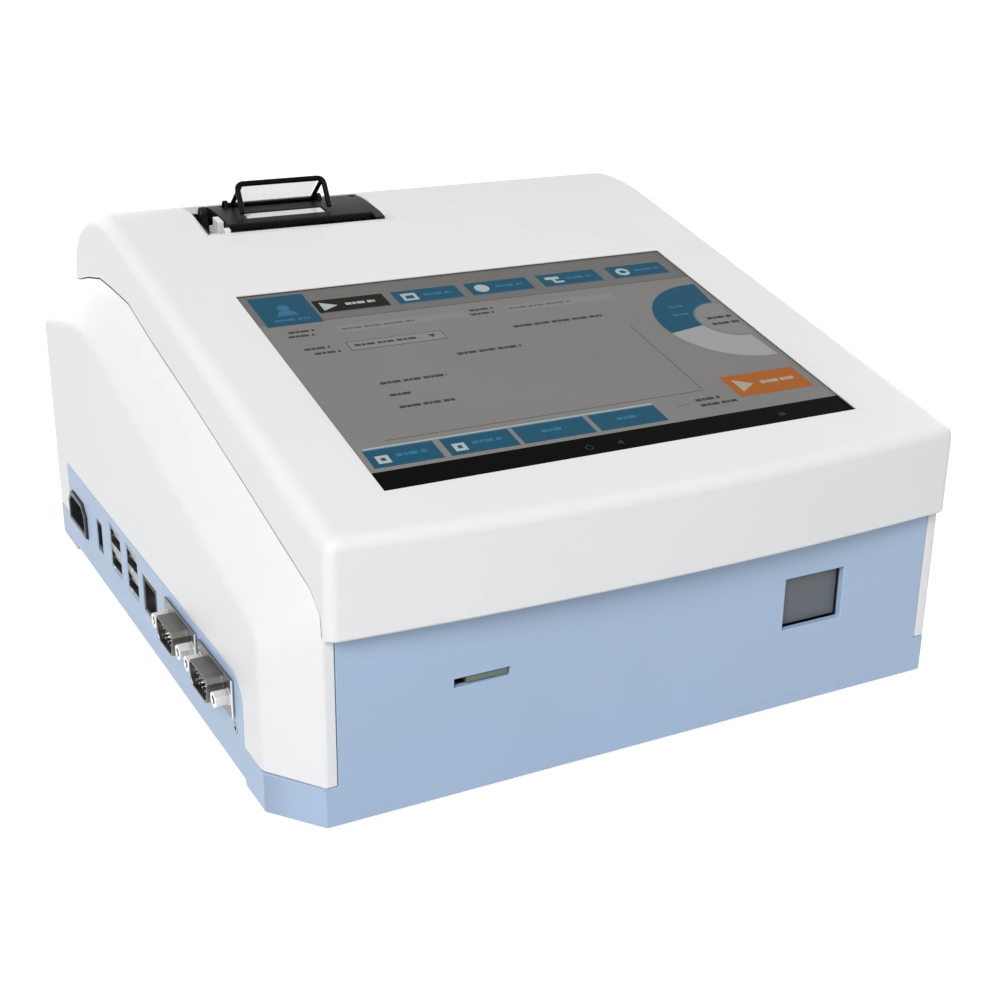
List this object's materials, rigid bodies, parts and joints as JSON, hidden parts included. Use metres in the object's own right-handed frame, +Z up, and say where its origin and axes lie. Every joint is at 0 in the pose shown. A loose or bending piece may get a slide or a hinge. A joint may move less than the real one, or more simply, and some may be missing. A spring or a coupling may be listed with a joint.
{
  "type": "benchtop immunoassay analyzer",
  "caption": "Benchtop immunoassay reader with a tilted touch screen, a cartridge tray, a code chip slot, side ports and a receipt printer under a lid with a wire bail.",
  "frame": {"origin": "under the middle of the whole instrument's box, on the surface that its feet stand on", "axes": "+X to the right of a user at the front, +Y to the back, +Z up; the cartridge bay and the screen's low edge are at -Y"},
  "size_m": [0.2448, 0.2548, 0.1447],
  "materials": {
    "white_plastic": "white satin moulded plastic with a very fine texture",
    "blue_plastic": "pale blue satin moulded plastic",
    "grey_plastic": "dark blue-grey moulded plastic",
    "black_plastic": "black moulded plastic",
    "natural_nylon": "uncoloured gear plastic",
    "rubber": "dark soft rubber",
    "screen_glass": "touch panel with a lit, brand-free screen behind it",
    "bracket_sheet": "plain bent sheet",
    "steel": "plain drawn steel",
    "black_wire": "black lacquered steel wire",
    "nickel": "dull nickel plating",
    "paper": null,
    "board_green": "green solder mask",
    "chip_green": "grey-green moulded chip key",
    "lens_glass": "clear lens"
  },
  "bodies": {
    "root": {"base_tray": "blue_plastic", "left_side_shell": "white_plastic", "right_side_shell": "white_plastic", "top_cover": "white_plastic", "rear_panel": "white_plastic", "touch_glass": "screen_glass", "screen_gasket": "rubber", "lcd_module": "black_plastic", "lcd_bracket": "bracket_sheet", "foot_front_left": "rubber", "foot_front_right": "rubber", "foot_rear_left": "rubber", "foot_rear_right": "rubber", "case_screw_front_left": "nickel", "case_screw_front_right": "nickel", "case_screw_rear_left": "nickel", "case_screw_rear_right": "nickel", "rear_screw_left": "nickel", "rear_screw_right": "nickel", "port_screw": "nickel", "printer_frame": "black_plastic", "door_hinge_rod": "steel", "printer_motor": "steel", "print_head": "grey_plastic", "tear_bar": "steel", "gear_plate": "white_plastic", "bay_frame": "black_plastic", "optical_head": "black_plastic", "optical_lens": "lens_glass", "tray_motor": "steel", "chip_socket": "black_plastic", "main_board": "board_green", "power_supply": "bracket_sheet", "inlet_body": "black_plastic", "inlet_contacts": "nickel", "service_port": "black_plastic", "usb_stack_1": "steel", "usb_stack_2": "steel", "network_jack": "steel", "serial_port_1": "nickel", "serial_port_2": "nickel", "serial_insert_1": "black_plastic", "serial_insert_2": "black_plastic", "power_switch_body": "black_plastic"},
    "tray": {"cartridge_tray": "grey_plastic"},
    "tray_gear": {"tray_pinion": "natural_nylon"},
    "chip": {"id_chip": "chip_green"},
    "lid": {"printer_door": "black_plastic", "door_pane": "natural_nylon"},
    "bail": {"door_bail": "black_wire", "bail_pane": "natural_nylon"},
    "platen": {"platen_shaft": "steel", "platen_roller": "rubber", "platen_gear": "natural_nylon"},
    "idler": {"idler_gear": "natural_nylon"},
    "pinion": {"motor_pinion": "natural_nylon"},
    "roll": {"paper_roll": "paper"},
    "rocker": {"power_rocker": "black_plastic"}
  },
  "joints": [
    {"name": "tray_slide", "type": "slide", "parent": "root", "child": "tray", "axis": [0, -1, 0], "range_m": [0, 0.06]},
    {"name": "tray_gear_spin", "type": "hinge", "parent": "root", "child": "tray_gear", "pos_m": [0.0545, -0.0988, 0.024], "axis": [1, 0, 0], "continuous": true},
    {"name": "chip_slide", "type": "slide", "parent": "root", "child": "chip", "axis": [0, -1, 0], "range_m": [0, 0.018]},
    {"name": "lid_hinge", "type": "hinge", "parent": "root", "child": "lid", "pos_m": [-0.0355, 0.08786, 0.13154], "axis": [-1, 0, 0], "range_deg": [0, 80]},
    {"name": "bail_hinge", "type": "hinge", "parent": "lid", "child": "bail", "pos_m": [-0.039, 0.08406, 0.13456], "axis": [-1, 0, 0], "range_deg": [0, 65]},
    {"name": "platen_spin", "type": "hinge", "parent": "lid", "child": "platen", "pos_m": [-0.0355, 0.06616, 0.12404], "axis": [1, 0, 0], "continuous": true},
    {"name": "idler_spin", "type": "hinge", "parent": "root", "child": "idler", "pos_m": [-0.066, 0.06956, 0.11421], "axis": [1, 0, 0], "continuous": true},
    {"name": "pinion_spin", "type": "hinge", "parent": "root", "child": "pinion", "pos_m": [-0.066, 0.07692, 0.10686], "axis": [1, 0, 0], "continuous": true},
    {"name": "roll_spin", "type": "hinge", "parent": "root", "child": "roll", "pos_m": [-0.0345, 0.08196, 0.11364], "axis": [1, 0, 0], "continuous": true},
    {"name": "rocker_tip", "type": "hinge", "parent": "root", "child": "rocker", "pos_m": [0.0845, 0.1222, 0.0415], "axis": [-1, 0, 0], "range_deg": [0, 16]}
  ],
  "couplings": [
    {"joint": "tray_gear_spin", "follows": "tray_slide", "rad_per_m": 178.57},
    {"joint": "idler_spin", "follows": "platen_spin", "ratio": -0.625},
    {"joint": "pinion_spin", "follows": "platen_spin", "ratio": 1}
  ]
}
